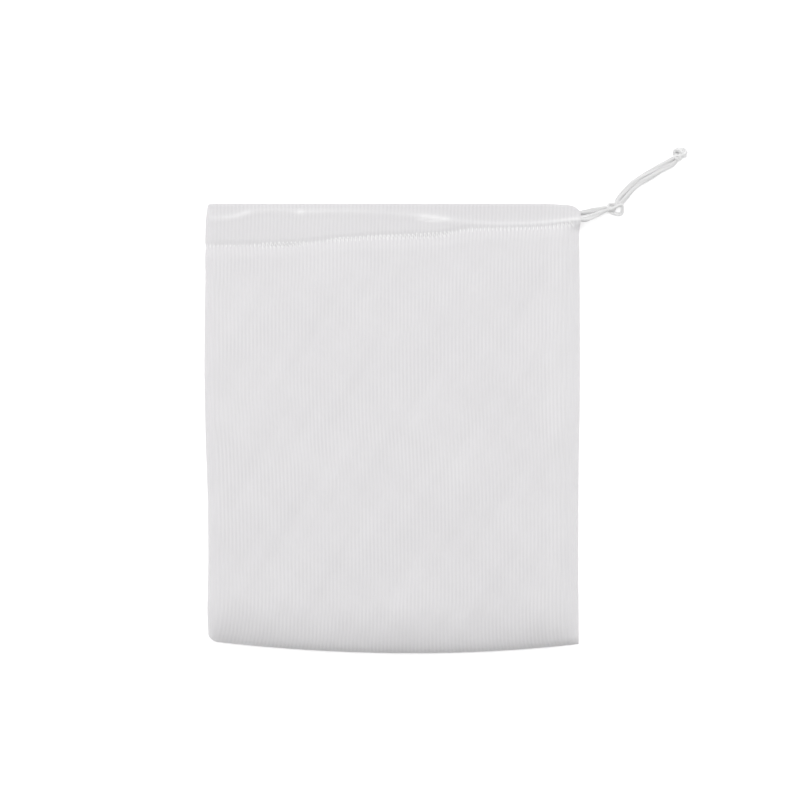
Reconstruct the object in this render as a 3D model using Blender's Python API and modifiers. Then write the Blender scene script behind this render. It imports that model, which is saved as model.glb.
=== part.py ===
"""Drawstring mesh produce bag, lying on its back cloth with its string drawn out to the right.

Metres. +X runs across the mouth towards the string's way out, +Y from the bottom to the mouth, +Z up.
The origin is on the surface that the bag lies on, under the middle of the cloth.
"""
import math

import bmesh
import bpy
from mathutils import Vector

# Cloth
BAG_WIDTH = 0.254
BAG_LENGTH = 0.308
BOTTOM_BOW = 0.0085
BOTTOM_BOW_SEWN = 0.0062
BOW_LOWEST_X = 0.015
CORNER_RADIUS = 0.006
CLOTH = 0.0006
BELLY_HEIGHT = 0.0185
BELLY_FROM_BOTTOM = 0.048
NOSE_LENGTH = 0.036
FOLD_ROUND = 0.014
SEAM_ROUND = 0.018

# Hem that the drawstring runs in
HEM_DEPTH = 0.021
HEM_WALL = 0.0005
MOUTH_GAP = 0.0048

# Drawstring
CORD_DIAMETER = 0.003
POINT_SPACING = 2.5
FLOOR_GAP = 0.00005
LEAD_GAP = 0.00045
KNOT_STRAND = 0.0022
KNOT_RING = 0.0027
KNOT_LOBE = 0.0015

# Sewing thread and its seams
THREAD = 0.0005
STITCH_PITCH = 0.0027
STITCH_WIDTH = 0.0024
SEAM_ROLL = 0.002
SEAM_INSET = 0.0045
SEAM_END_GAP = 0.012

CLEARANCE = 0.0003
HALF_STEPS = 8
TURN_STEPS = 12

# Levels that follow from the sizes above
HEM_HEIGHT = CORD_DIAMETER + 2 * (HEM_WALL + CLEARANCE)
SIDE = BAG_WIDTH / 2
MOUTH_Y = BAG_LENGTH / 2
HEM_EDGE_Y = MOUTH_Y - HEM_DEPTH
PANEL_TOP_Y = HEM_EDGE_Y - CLEARANCE
BACK_HEM_Z = HEM_HEIGHT / 2
FRONT_HEM_Z = HEM_HEIGHT * 1.5 + MOUTH_GAP
HEM_TOP_Z = HEM_HEIGHT * 2 + MOUTH_GAP
TURN_RADIUS = (FRONT_HEM_Z - BACK_HEM_Z) / 2
TURN_X = -SIDE + TURN_RADIUS + HEM_HEIGHT / 2
PANEL_BASE_Z = CLOTH + 2 * CLEARANCE
FLOOR_CORD_Z = CORD_DIAMETER / 2 + FLOOR_GAP
CROSSING_Z = FLOOR_CORD_Z + 1.085 * CORD_DIAMETER

# Routes of the drawstring, chosen by hand and measured from the mouth's right-hand corner: (x, y), and for
# the two leads the share of their fall that is still to come, from 1 at the hem to 0 where they land
FRONT_RUN = [
    (0.0, -0.0106), (-0.0040, -0.0107), (-0.0198, -0.0125), (-0.0397, -0.0136), (-0.0616, -0.0134),
    (-0.0808, -0.0118), (-0.1000, -0.0091), (-0.1219, -0.0071), (-0.1438, -0.0056), (-0.1664, -0.0050),
    (-0.1904, -0.0054), (-0.2075, -0.0042), (-0.2246, -0.0056), (-0.2350, -0.0085),
]
BACK_RUN = [
    (-0.2350, -0.0102), (-0.2120, -0.0088), (-0.1770, -0.0078), (-0.1370, -0.0070), (-0.0990, -0.0076),
    (-0.0650, -0.0064), (-0.0320, -0.0054), (-0.0040, -0.0054), (0.0, -0.0054),
]
TURN_BELOW_MOUTH = 0.0098
FRONT_LEAD = [
    (0.0, -0.0106, 1.0), (0.0035, -0.0107, 0.99), (0.0065, -0.0101, 0.83), (0.0098, -0.0086, 0.51),
    (0.0132, -0.0068, 0.28), (0.0168, -0.0050, 0.1), (0.0202, -0.0035, 0.0),
]
BACK_LEAD = [
    (0.0, -0.0054, 1.0), (0.0040, -0.0050, 0.75), (0.0080, -0.0042, 0.0), (0.0125, -0.0032, 0.0),
    (0.0165, -0.0024, 0.0), (0.0200, -0.0018, 0.05),
]
TAIL_PAIR = [
    (0.0290, 0.0036), (0.0336, 0.0085), (0.0371, 0.0120), (0.0407, 0.0151), (0.0446, 0.0178),
    (0.0487, 0.0202), (0.0525, 0.0225), (0.0562, 0.0248), (0.0603, 0.0271), (0.0660, 0.0303),
]
TAIL_APART = CORD_DIAMETER / 2 + CLEARANCE / 2
TAIL_SPREAD = 0.0005
STOPPER_KNOT = (0.0263, -0.0026)
END_KNOT = (0.0706, 0.0344)


def clear_scene():
    for obj in list(bpy.data.objects):
        bpy.data.objects.remove(obj)


def new_collection(name):
    collection = bpy.data.collections.new(name)
    bpy.context.scene.collection.children.link(collection)
    return collection


def new_material(name, colour, roughness):
    material = bpy.data.materials.new(name)
    material.use_nodes = True
    shader = material.node_tree.nodes["Principled BSDF"]
    shader.inputs["Base Color"].default_value = (*colour, 1.0)
    shader.inputs["Roughness"].default_value = roughness
    shader.inputs["Metallic"].default_value = 0.0
    return material


def place(collection, name, data, material):
    obj = bpy.data.objects.new(name, data)
    obj.data.materials.append(material)
    collection.objects.link(obj)
    return obj


def solidify(obj, thickness, inwards=-1.0):
    wall = obj.modifiers.new("wall", "SOLIDIFY")
    wall.thickness = thickness
    wall.offset = inwards
    return wall


# Cloth outline and crown


def corner_rise(x):
    """How far the rounded fold corner lifts the bottom edge above the plain bow."""
    inside = SIDE + x
    if inside >= CORNER_RADIUS:
        return 0.0
    reach = CORNER_RADIUS - max(inside, 0.0)
    return CORNER_RADIUS - math.sqrt(CORNER_RADIUS ** 2 - reach ** 2)


def bottom_edge(x):
    """The bowed bottom edge: lowest near the middle, rising most to the folded corner."""
    folded = x < BOW_LOWEST_X
    half = SIDE + BOW_LOWEST_X if folded else SIDE - BOW_LOWEST_X
    bow = BOTTOM_BOW if folded else BOTTOM_BOW_SEWN
    return -MOUTH_Y + bow * ((x - BOW_LOWEST_X) / half) ** 2 + corner_rise(x)


def rounded(distance, radius):
    """0 at an edge, 1 from radius inwards, along a quarter of an ellipse."""
    short = 1.0 - min(max(distance / radius, 0.0), 1.0)
    return math.sqrt(max(1.0 - short ** 2, 0.0))


def crown(y):
    """Height of the front cloth down the middle: the hem's height, swelling to the belly."""
    belly_y = -MOUTH_Y + BELLY_FROM_BOTTOM
    share = min(max((PANEL_TOP_Y - y) / (PANEL_TOP_Y - belly_y), 0.0), 1.0)
    swell = share * share * (3.0 - 2.0 * share)
    return HEM_TOP_Z + (BELLY_HEIGHT - HEM_TOP_Z) * swell


def front_height(x, y):
    edges = rounded(SIDE + x, FOLD_ROUND) * rounded(SIDE - x, SEAM_ROUND)
    nose = rounded(y - bottom_edge(x), NOSE_LENGTH)
    return PANEL_BASE_Z + (crown(y) - PANEL_BASE_Z) * edges * nose


def make_front_panel(collection, material):
    """The front cloth: a grid, closer where it turns down, shaped into a low dome."""
    across, along = 28, 26
    mesh = bpy.data.meshes.new("front_panel")
    form = bmesh.new()
    bmesh.ops.create_grid(form, x_segments=across, y_segments=along, size=0.5)
    for vert in form.verts:
        u = 0.5 - 0.5 * math.cos(math.pi * (vert.co.x + 0.5))
        v = 1.0 - math.cos(math.pi / 2 * (vert.co.y + 0.5))
        x = -SIDE + BAG_WIDTH * u
        low = bottom_edge(x)
        y = low + (PANEL_TOP_Y - low) * v
        vert.co = (x, y, front_height(x, y))
    form.to_mesh(mesh)
    form.free()
    panel = place(collection, "front_panel", mesh, material)
    mesh.shade_smooth()
    solidify(panel, CLOTH)
    return panel


def flat_outline(collection, name, outline, thickness, material):
    curve = bpy.data.curves.new(name, "CURVE")
    curve.dimensions = "2D"
    curve.fill_mode = "BOTH"
    curve.extrude = thickness / 2
    spline = curve.splines.new("POLY")
    spline.points.add(len(outline) - 1)
    for point, (x, y) in zip(spline.points, outline):
        point.co = (x, y, 0.0, 1.0)
    spline.use_cyclic_u = True
    return place(collection, name, curve, material)


def make_back_panel(collection, material):
    """The back cloth: flat on the surface, with the same outline as the front."""
    turns = [math.pi / 2 * i / HALF_STEPS for i in range(HALF_STEPS)]
    corner = [-SIDE + CORNER_RADIUS * (1.0 - math.cos(turn)) for turn in turns]
    rest = [-SIDE + CORNER_RADIUS + (BAG_WIDTH - CORNER_RADIUS) * i / 32 for i in range(33)]
    outline = [(x, bottom_edge(x)) for x in corner + rest]
    outline += [(SIDE, PANEL_TOP_Y), (-SIDE, PANEL_TOP_Y)]
    panel = flat_outline(collection, "back_panel", outline, CLOTH, material)
    panel.location.z = CLOTH / 2
    return panel


# Hem


def hem_section():
    """The hem's flattened section as (y, height) pairs, with round long edges."""
    radius = HEM_HEIGHT / 2
    centre = HEM_EDGE_Y + HEM_DEPTH / 2
    reach = HEM_DEPTH / 2 - radius
    section = []
    for side in (1, -1):
        for i in range(HALF_STEPS + 1):
            turn = math.pi * (0.5 - i / HALF_STEPS) if side > 0 else math.pi * (1.5 - i / HALF_STEPS)
            section.append((centre + side * reach + radius * math.cos(turn), radius * math.sin(turn)))
    return section


def make_tunnel(collection, name, rings, material):
    """A cloth tunnel through a row of equal rings, open at both ends."""
    mesh = bpy.data.meshes.new(name)
    form = bmesh.new()
    rows = [[form.verts.new(point) for point in ring] for ring in rings]
    for here, there in zip(rows, rows[1:]):
        for i in range(len(here)):
            k = (i + 1) % len(here)
            form.faces.new((here[i], here[k], there[k], there[i]))
    bmesh.ops.recalc_face_normals(form, faces=form.faces)
    form.to_mesh(mesh)
    form.free()
    tunnel = place(collection, name, mesh, material)
    mesh.shade_smooth()
    solidify(tunnel, HEM_WALL)
    return tunnel


def make_straight_hem(collection, name, level, material):
    ends = (TURN_X + CLEARANCE, SIDE)
    rings = [[(x, y, level + height) for y, height in hem_section()] for x in ends]
    return make_tunnel(collection, name, rings, material)


def make_hem_fold(collection, material):
    """The hem's turn round the folded side of the bag, from the back cloth to the front."""
    rings = []
    for i in range(TURN_STEPS + 1):
        turn = math.pi * (1.5 - i / TURN_STEPS)
        ring = []
        for y, height in hem_section():
            reach = TURN_RADIUS + height
            z = (BACK_HEM_Z + FRONT_HEM_Z) / 2 + reach * math.sin(turn)
            ring.append((TURN_X + reach * math.cos(turn), y, z))
        rings.append(ring)
    return make_tunnel(collection, "hem_fold", rings, material)


# Seams and stitching


def make_tube(collection, name, points, diameter, material, sides=2, cyclic=False):
    curve = bpy.data.curves.new(name, "CURVE")
    curve.dimensions = "3D"
    curve.bevel_depth = diameter / 2
    curve.bevel_resolution = sides
    curve.use_fill_caps = not cyclic
    spline = curve.splines.new("POLY")
    spline.points.add(len(points) - 1)
    for point, co in zip(spline.points, points):
        point.co = (*co, 1.0)
    spline.use_cyclic_u = cyclic
    return place(collection, name, curve, material)


def make_side_seam(collection, material):
    """The overlocked edge inside the sewn side."""
    x = SIDE - SEAM_INSET
    z = PANEL_BASE_Z + SEAM_ROLL / 2
    points = [(x, bottom_edge(x) + SEAM_END_GAP, z), (x, HEM_EDGE_Y - SEAM_END_GAP, z)]
    return make_tube(collection, "side_seam", points, SEAM_ROLL, material)


def make_bottom_seam(collection, material):
    """The overlocked edge inside the bowed bottom."""
    first, last = -SIDE + SEAM_END_GAP, SIDE - SEAM_END_GAP
    steps = 24
    z = PANEL_BASE_Z + SEAM_ROLL / 2
    xs = [first + (last - first) * i / steps for i in range(steps + 1)]
    points = [(x, bottom_edge(x) + SEAM_INSET, z) for x in xs]
    return make_tube(collection, "bottom_seam", points, SEAM_ROLL, material)


def make_hem_stitching(collection, name, level, material):
    """One thread in a zigzag along the hem's lower edge."""
    first, last = -SIDE + FOLD_ROUND, SIDE - SEAM_ROUND
    count = int((last - first) / (STITCH_PITCH / 2))
    centre = PANEL_TOP_Y - CLEARANCE - STITCH_WIDTH / 2 - THREAD
    points = []
    for i in range(count + 1):
        swing = STITCH_WIDTH / 2 if i % 2 else -STITCH_WIDTH / 2
        points.append((first + i * STITCH_PITCH / 2, centre + swing, level + CLEARANCE + THREAD / 2))
    return make_tube(collection, name, points, THREAD, material, sides=0)


# Drawstring


def smooth_points(route, spacing):
    """Evenly spaced points on a smooth curve through the route's own points."""
    ends = [route[0] * 2 - route[1], *route, route[-1] * 2 - route[-2]]
    fine = []
    for a, b, c, d in zip(ends, ends[1:], ends[2:], ends[3:]):
        for i in range(20):
            t = i / 20
            across = (c - a) * t + (a * 2 - b * 5 + c * 4 - d) * t ** 2 + (b * 3 - a - c * 3 + d) * t ** 3
            fine.append(b + across / 2)
    fine.append(route[-1])
    total = sum((b - a).length for a, b in zip(fine, fine[1:]))
    step = total / max(round(total / spacing), 2)
    points, travelled = [fine[0]], 0.0
    for a, b in zip(fine, fine[1:]):
        travelled += (b - a).length
        if travelled >= step * len(points) and len(points) * step < total - step / 2:
            points.append(b)
    return points + [fine[-1]]


def from_corner(x, y, z):
    return Vector((SIDE + x, MOUTH_Y + y, z))


def inside_hem(x):
    """True for a point of the route that is clear of the turn at the folded side."""
    return SIDE + x > TURN_X + TURN_RADIUS


def make_cord(collection, name, route, material):
    points = smooth_points(route, CORD_DIAMETER * POINT_SPACING)
    return make_tube(collection, name, points, CORD_DIAMETER, material)


def lead_route(route, start_z, land_z):
    """A strand from the hem's end down to where it lands, clear of the string inside the hem."""
    return [from_corner(x + LEAD_GAP, y, land_z + (start_z - land_z) * share) for x, y, share in route]


def make_casing_cord(collection, material):
    """The string's loop inside the hem: front run, turn at the folded side, back run."""
    middle_z = (FRONT_HEM_Z + BACK_HEM_Z) / 2
    spacing = CORD_DIAMETER * POINT_SPACING
    turn_y = MOUTH_Y - TURN_BELOW_MOUTH
    front = [from_corner(x, y, FRONT_HEM_Z) for x, y in FRONT_RUN if inside_hem(x)]
    back = [from_corner(x, y, BACK_HEM_Z) for x, y in BACK_RUN if inside_hem(x)]
    front = front + [Vector((TURN_X, turn_y, FRONT_HEM_Z))]
    back = [Vector((TURN_X, turn_y, BACK_HEM_Z))] + back
    turn = []
    for i in range(1, TURN_STEPS):
        angle = math.pi * (0.5 + i / TURN_STEPS)
        x = TURN_X + TURN_RADIUS * math.cos(angle)
        turn.append(Vector((x, turn_y, middle_z + TURN_RADIUS * math.sin(angle))))
    points = smooth_points(front, spacing) + turn + smooth_points(back, spacing)
    return make_tube(collection, "casing_cord", points, CORD_DIAMETER, material)


def tail_route(side):
    """One of the two tails, which lie side by side and a little apart in the middle."""
    centre = [from_corner(x, y, FLOOR_CORD_Z) for x, y in TAIL_PAIR]
    route = []
    for i, point in enumerate(centre):
        ahead = centre[min(i + 1, len(centre) - 1)] - centre[max(i - 1, 0)]
        across = Vector((-ahead.y, ahead.x, 0.0)).normalized()
        spread = TAIL_APART + TAIL_SPREAD * math.sin(math.pi * i / (len(centre) - 1))
        route.append(point + across * side * spread)
    return route


def make_knot(collection, name, centre, material):
    """An overhand knot drawn as its closed form: a strand that laps a ring three times."""
    steps = 54
    level = KNOT_LOBE + KNOT_STRAND / 2 + FLOOR_GAP
    points = []
    for i in range(steps):
        turn = 2 * math.pi * i / steps
        reach = KNOT_RING + KNOT_LOBE * math.cos(3 * turn)
        x = centre[0] + reach * math.cos(2 * turn)
        y = centre[1] + reach * math.sin(2 * turn)
        points.append(from_corner(x, y, level + KNOT_LOBE * math.sin(3 * turn)))
    return make_tube(collection, name, points, KNOT_STRAND, material, cyclic=True)


def main():
    clear_scene()
    bag = new_collection("mesh_produce_bag")
    cloth = new_material("mesh_cloth", (0.74, 0.735, 0.74), 0.85)
    hem_cloth = new_material("hem_cloth", (0.77, 0.765, 0.77), 0.82)
    thread = new_material("thread", (0.88, 0.88, 0.88), 0.6)
    cord = new_material("cord", (0.87, 0.865, 0.87), 0.7)
    make_back_panel(bag, cloth)
    make_front_panel(bag, cloth)
    make_straight_hem(bag, "back_hem", BACK_HEM_Z, hem_cloth)
    make_straight_hem(bag, "front_hem", FRONT_HEM_Z, hem_cloth)
    make_hem_fold(bag, hem_cloth)
    make_side_seam(bag, thread)
    make_bottom_seam(bag, thread)
    make_hem_stitching(bag, "back_hem_stitching", CLOTH, thread)
    make_hem_stitching(bag, "front_hem_stitching", crown(PANEL_TOP_Y), thread)
    make_casing_cord(bag, cord)
    make_cord(bag, "front_lead", lead_route(FRONT_LEAD, FRONT_HEM_Z, CROSSING_Z), cord)
    make_cord(bag, "back_lead", lead_route(BACK_LEAD, BACK_HEM_Z, FLOOR_CORD_Z), cord)
    make_knot(bag, "stopper_knot", STOPPER_KNOT, cord)
    make_cord(bag, "front_tail", tail_route(1), cord)
    make_cord(bag, "back_tail", tail_route(-1), cord)
    make_knot(bag, "end_knot", END_KNOT, cord)
    bpy.context.view_layer.update()


main()
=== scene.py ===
"""Looks of a white mesh produce bag with a stitched hem and a knotted drawstring."""
import math

import bpy
import numpy as np
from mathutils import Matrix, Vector


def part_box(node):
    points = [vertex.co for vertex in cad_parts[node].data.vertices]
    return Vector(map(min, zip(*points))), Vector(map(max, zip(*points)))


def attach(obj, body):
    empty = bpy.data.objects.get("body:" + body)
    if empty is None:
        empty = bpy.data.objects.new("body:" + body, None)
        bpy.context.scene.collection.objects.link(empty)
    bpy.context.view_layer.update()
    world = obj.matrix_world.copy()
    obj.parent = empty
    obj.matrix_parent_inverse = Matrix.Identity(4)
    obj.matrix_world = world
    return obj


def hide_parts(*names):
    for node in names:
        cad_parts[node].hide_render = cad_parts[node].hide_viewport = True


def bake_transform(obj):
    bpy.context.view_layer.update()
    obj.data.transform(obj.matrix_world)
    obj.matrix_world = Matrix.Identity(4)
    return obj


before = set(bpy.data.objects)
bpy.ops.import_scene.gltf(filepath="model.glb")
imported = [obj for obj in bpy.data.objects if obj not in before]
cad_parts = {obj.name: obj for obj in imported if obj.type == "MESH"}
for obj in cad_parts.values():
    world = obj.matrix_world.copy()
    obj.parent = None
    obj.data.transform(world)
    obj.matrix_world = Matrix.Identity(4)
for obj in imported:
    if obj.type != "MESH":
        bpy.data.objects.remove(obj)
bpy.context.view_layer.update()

# --- sizes, in metres

PANEL_LOW, PANEL_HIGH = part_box("front_panel")
HEM_LOW, HEM_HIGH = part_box("front_hem")
BACK_HEM_LOW, BACK_HEM_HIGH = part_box("back_hem")
FOLD_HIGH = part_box("hem_fold")[1]

SIDE = PANEL_HIGH.x
MOUTH_Y = HEM_HIGH.y
BOTTOM_Y = PANEL_LOW.y
HEM_EDGE_Y = HEM_LOW.y
HEM_TOP_Z = HEM_HIGH.z
FRONT_Z = (HEM_LOW.z + HEM_HIGH.z) / 2
BACK_Z = (BACK_HEM_LOW.z + BACK_HEM_HIGH.z) / 2
MIDDLE_Z = (FRONT_Z + BACK_Z) / 2
TURN_X = FOLD_HIGH.x
BELLY_Z = PANEL_HIGH.z

BOTTOM_BOW_LEFT = 0.0085
BOTTOM_BOW_RIGHT = 0.0062
BOTTOM_SAG = 0.0008
BOW_LOWEST_X = 0.015
CORNER_RADIUS = 0.006
BELLY_FROM_BOTTOM = 0.048
NOSE_LENGTH = 0.036
FOLD_ROUND = 0.014
FOLD_UNDER_ROUND = 0.005
FOLD_SHARE = 0.38
SEAM_ROUND = 0.018
SEAM_Z = 0.0011
FLOOR_CLOTH_Z = 0.00045

CLOTH = 0.0003
RIB_PITCH = 0.0026
WALE_PITCH = 0.00093
COURSE_PITCH = 0.00064

# The margins of cloth inside the seams, from the seam's line
MARGIN_START = 0.0004
MARGIN_WIDTH = 0.0078
MARGIN_MIDDLE = 0.0045
MARGIN_Z = 0.0013
MARGIN_BOW = 0.0003
MARGIN_PLACES = 110
# How far they stop short: of the fold and the side seam, and of the bottom and the hem
BOTTOM_MARGIN_SHORT = (0.012, 0.002)
SIDE_MARGIN_SHORT = (0.009, 0.004)

CORD = 0.003
# The string's plies, their depth as a share of its radius, and the radii it runs while they turn one radian
PLIES = 3
PLY_DEPTH = 0.2
PLY_LAY = 5.5

# Routes of the drawstring, from the mouth's right-hand corner, as in the model
FRONT_RUN = [
    (0.0, -0.0106), (-0.0040, -0.0107), (-0.0198, -0.0125), (-0.0397, -0.0136), (-0.0616, -0.0134),
    (-0.0808, -0.0118), (-0.1000, -0.0091), (-0.1219, -0.0071), (-0.1438, -0.0056), (-0.1664, -0.0050),
    (-0.1904, -0.0054), (-0.2075, -0.0042), (-0.2246, -0.0056), (-0.2350, -0.0085),
]
BACK_RUN = [
    (-0.2350, -0.0102), (-0.2120, -0.0088), (-0.1770, -0.0078), (-0.1370, -0.0070), (-0.0990, -0.0076),
    (-0.0650, -0.0064), (-0.0320, -0.0054), (-0.0040, -0.0054), (0.0, -0.0054),
]
TURN_BELOW_MOUTH = 0.0098
FRONT_LEAD = [
    (0.0, -0.0106, 1.0), (0.0035, -0.0107, 0.99), (0.0065, -0.0101, 0.83), (0.0098, -0.0086, 0.51),
    (0.0132, -0.0068, 0.28), (0.0168, -0.0050, 0.1), (0.0202, -0.0035, 0.0),
]
BACK_LEAD = [
    (0.0, -0.0054, 1.0), (0.0040, -0.0050, 0.75), (0.0080, -0.0042, 0.0), (0.0125, -0.0032, 0.0),
    (0.0165, -0.0024, 0.0), (0.0200, -0.0018, 0.05),
]
TAIL_PAIR = [
    (0.0290, 0.0036), (0.0336, 0.0085), (0.0371, 0.0120), (0.0407, 0.0151), (0.0446, 0.0178),
    (0.0487, 0.0202), (0.0525, 0.0225), (0.0562, 0.0248), (0.0603, 0.0271), (0.0660, 0.0303),
]
TAIL_APART = 0.0016
TAIL_WRAP = 0.45
TAIL_SHIFT = 0.0008
TAIL_RADIUS = 0.00195
LEAD_RADIUS = 0.0013
TIGHT_RADIUS = 0.00105

# Shares of a free strand: up to the stopper knot, thinned beside a knot, and widening as it leaves the hem
LEAD_SHARE = 0.30
KNOT_SHARE = 0.07
WIDENING_SHARE = 0.06

# The knots: middles from the mouth's corner, each string's radius and half the distance between the two
STOPPER_KNOT = (0.0263, -0.0026)
STOPPER_RADIUS = 0.00082
STOPPER_APART = 0.0006
END_KNOT = (0.0706, 0.0344)
END_KNOT_SHIFT = (0.0002, 0.0012, 0.0)
END_KNOT_RADIUS = 0.00138
END_KNOT_APART = 0.0009
KNOT_PARTS_OVER = 0.003
KNOT_Z = 0.0026
# Where a strand goes into the stopper knot and where it leaves, from the knot's middle
STOPPER_IN = (-0.0012, 0.0008)
STOPPER_OUT = (0.0011, 0.0030)

FLOOR_GAP = 0.0001
FLOOR_CORD_Z = CORD / 2 + 0.00005
CROSSING_Z = FLOOR_CORD_Z + 1.085 * CORD


# --- nodes and materials


def fill(tree, socket, value):
    """Link a socket to another node's output, or set its value."""
    if isinstance(value, bpy.types.NodeSocket):
        tree.links.new(value, socket)
    else:
        socket.default_value = value


def add_node(tree, kind, settings, inputs, output=0):
    """Any node: its settings first, then its sockets' values or links. Returns one of its outputs."""
    made = tree.nodes.new(kind)
    for key, value in (settings or {}).items():
        setattr(made, key, value)
    for key, value in (inputs or {}).items():
        fill(tree, made.inputs[key], value)
    return made.outputs[output]


class Wire:
    """A socket's value in a material. Its operators add Math nodes."""

    def __init__(self, finish, socket):
        self.finish = finish
        self.socket = socket

    def _math(self, operation, first, second):
        return self.finish.node("ShaderNodeMath", {"operation": operation}, {0: first, 1: second})

    def __add__(self, other):
        return self._math("ADD", self, other)

    def __radd__(self, other):
        return self._math("ADD", other, self)

    def __sub__(self, other):
        return self._math("SUBTRACT", self, other)

    def __rsub__(self, other):
        return self._math("SUBTRACT", other, self)

    def __mul__(self, other):
        return self._math("MULTIPLY", self, other)

    def wave(self):
        """The cosine of this value, as 0 to 1."""
        return self._math("COSINE", self, 0.0) * 0.5 + 0.5

    def power(self, exponent):
        return self._math("POWER", self, exponent)


class Finish:
    """A material in the making, with one Principled shader."""

    def __init__(self, name, **constants):
        self.material = bpy.data.materials.new(name)
        self.material.use_nodes = True
        self.tree = self.material.node_tree
        self.tree.nodes.clear()
        output = self.tree.nodes.new("ShaderNodeOutputMaterial")
        self.shader = self.tree.nodes.new("ShaderNodeBsdfPrincipled")
        self.tree.links.new(self.shader.outputs[0], output.inputs["Surface"])
        for label, value in constants.items():
            self.shader.inputs[label.replace("_", " ")].default_value = value

    def node(self, kind, settings=None, inputs=None, output=0):
        """A node fed with plain values or wires; the wire of one output."""
        plain = {
            key: value.socket if isinstance(value, Wire) else value for key, value in (inputs or {}).items()
        }
        return Wire(self, add_node(self.tree, kind, settings, plain, output))

    def feed(self, name, wire):
        self.tree.links.new(wire.socket, self.shader.inputs[name])

    def stored(self, name, output="Fac"):
        """A number or vector kept on the piece's own points."""
        return self.node("ShaderNodeAttribute", {"attribute_name": name}, output=output)

    def split(self, vector):
        """A vector's three parts."""
        made = self.tree.nodes.new("ShaderNodeSeparateXYZ")
        self.tree.links.new(vector.socket, made.inputs[0])
        return [Wire(self, made.outputs[i]) for i in range(3)]

    def noise(self, vector, scale, detail=2.0, roughness=0.5):
        inputs = {"Vector": vector, "Scale": scale, "Detail": detail, "Roughness": roughness}
        return self.node("ShaderNodeTexNoise", {}, inputs, "Fac")

    def mix(self, share, first, second):
        """Between two colours, by a share from 0 to 1."""
        return self.node("ShaderNodeMix", {"data_type": "RGBA"}, {0: share, 6: first, 7: second}, 2)

    def bump(self, height, distance, strength=1.0):
        inputs = {"Height": height, "Distance": distance, "Strength": strength}
        self.feed("Normal", self.node("ShaderNodeBump", {}, inputs))


def grey(level, tint=0.0):
    """A near-white: its level, and how much pink and blue it has over green."""
    return (level, level - tint, level + tint * 0.3, 1.0)


def mesh_cloth(name):
    """Fine warp-knit mesh: faint wales along the bag, small holes, whiter where something lies behind it,
    with a painted light band and painted shade mixed into its colour.
    """
    made = Finish(name, Roughness=0.82, Sheen_Weight=0.12, Sheen_Roughness=0.5)
    place = made.stored("cloth_place", "Vector")
    across, along, _ = made.split(place)
    drift = made.noise(place, 38.0)
    rib = ((across + along * 0.04 + drift * 0.0022) * (2 * math.pi / RIB_PITCH)).wave()
    strength = made.noise(place, 130.0, 3.0, 0.7).power(2.0)
    wale = ((across + drift * 0.0006) * (2 * math.pi / WALE_PITCH)).wave()
    course = ((along + wale * (COURSE_PITCH * 0.35)) * (2 * math.pi / COURSE_PITCH)).wave()
    grain = made.noise(place, 1500.0, 1.0)
    patch = made.noise(place, 17.0, 3.0, 0.6)
    backing, gathers, shade = made.stored("backing"), made.stored("gathers"), made.stored("shade")
    ribbed = made.stored("ribbed")
    streak = (rib - 0.5) * (strength * ribbed * 0.5 + gathers * 0.2)
    yarn = wale * 0.7 + course * 0.3
    uneven = (grain - 0.5) * 0.12
    # Whiter where something shows through the mesh, and where the painted light band lies above the stitched
    # line
    tone = 0.1 + backing * 0.9 + streak + uneven + (patch - 0.5) * 0.32 + (yarn - 0.5) * 0.10
    white = made.mix(tone, grey(0.767, 0.011), grey(0.886, 0.005))
    made.feed("Base Color", made.mix(shade, white, grey(0.5, 0.004)))
    made.feed("Alpha", 1 - (1 - wale) * (1 - course) * (1 - backing) * 0.5)
    made.bump(rib * (ribbed * 0.07 + gathers * 0.3) + yarn * 0.26 + grain * 0.1, 0.0003, 0.5)
    return made.material


def sewing_thread(name, level):
    made = Finish(name, Roughness=0.55, Sheen_Weight=0.2)
    place = made.node("ShaderNodeTexCoord", output="Object")
    fibre = made.noise(place, 2600.0, 2.0)
    patch = made.noise(place, 90.0, 2.0)
    made.feed("Base Color", made.mix(fibre * 0.5 + patch * 0.5, grey(level - 0.06), grey(level + 0.04)))
    made.bump(fibre, 0.0001, 0.4)
    return made.material


def soft_cord(name, level):
    """Soft braided nylon: fine crossing strands, with painted shade in the dips between its plies."""
    made = Finish(name, Roughness=0.68, Sheen_Weight=0.25, Sheen_Roughness=0.4)
    place = made.stored("strand_place", "Vector")
    round_, along, lift = made.split(place)
    fibre = made.noise(place, 420.0, 3.0, 0.7)
    turns, lay = 8.0, 3600.0
    yarn = (round_ * turns + along * lay).wave() * (round_ * turns - along * lay).wave()
    # Painted shade: darker in the dips between the plies, lighter where they stand out
    tone = lift * 0.65 + fibre * 0.4 + yarn * 0.3 - 0.1
    made.feed("Base Color", made.mix(tone, grey(level - 0.14), grey(level + 0.04)))
    made.bump(fibre * 0.3 + yarn, 0.00025, 0.8)
    return made.material


# --- camera, lights, floor


def make_camera():
    """Straight above the bag, a little towards the string's side."""
    data = bpy.data.cameras.new("camera")
    data.lens = 85.0
    data.sensor_width = 36.0
    camera = bpy.data.objects.new("camera", data)
    camera.location = (0.0051, 0.0199, 1.304)
    bpy.context.scene.collection.objects.link(camera)
    bpy.context.scene.camera = camera


def make_light(name, place, size, watts):
    """A soft light aimed at the bag's middle."""
    data = bpy.data.lights.new(name, "AREA")
    data.shape = "RECTANGLE"
    data.size, data.size_y = size
    data.energy = watts
    light = bpy.data.objects.new(name, data)
    light.location = place
    light.rotation_euler = Vector(place).to_track_quat("Z", "Y").to_euler()
    bpy.context.scene.collection.objects.link(light)


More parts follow.
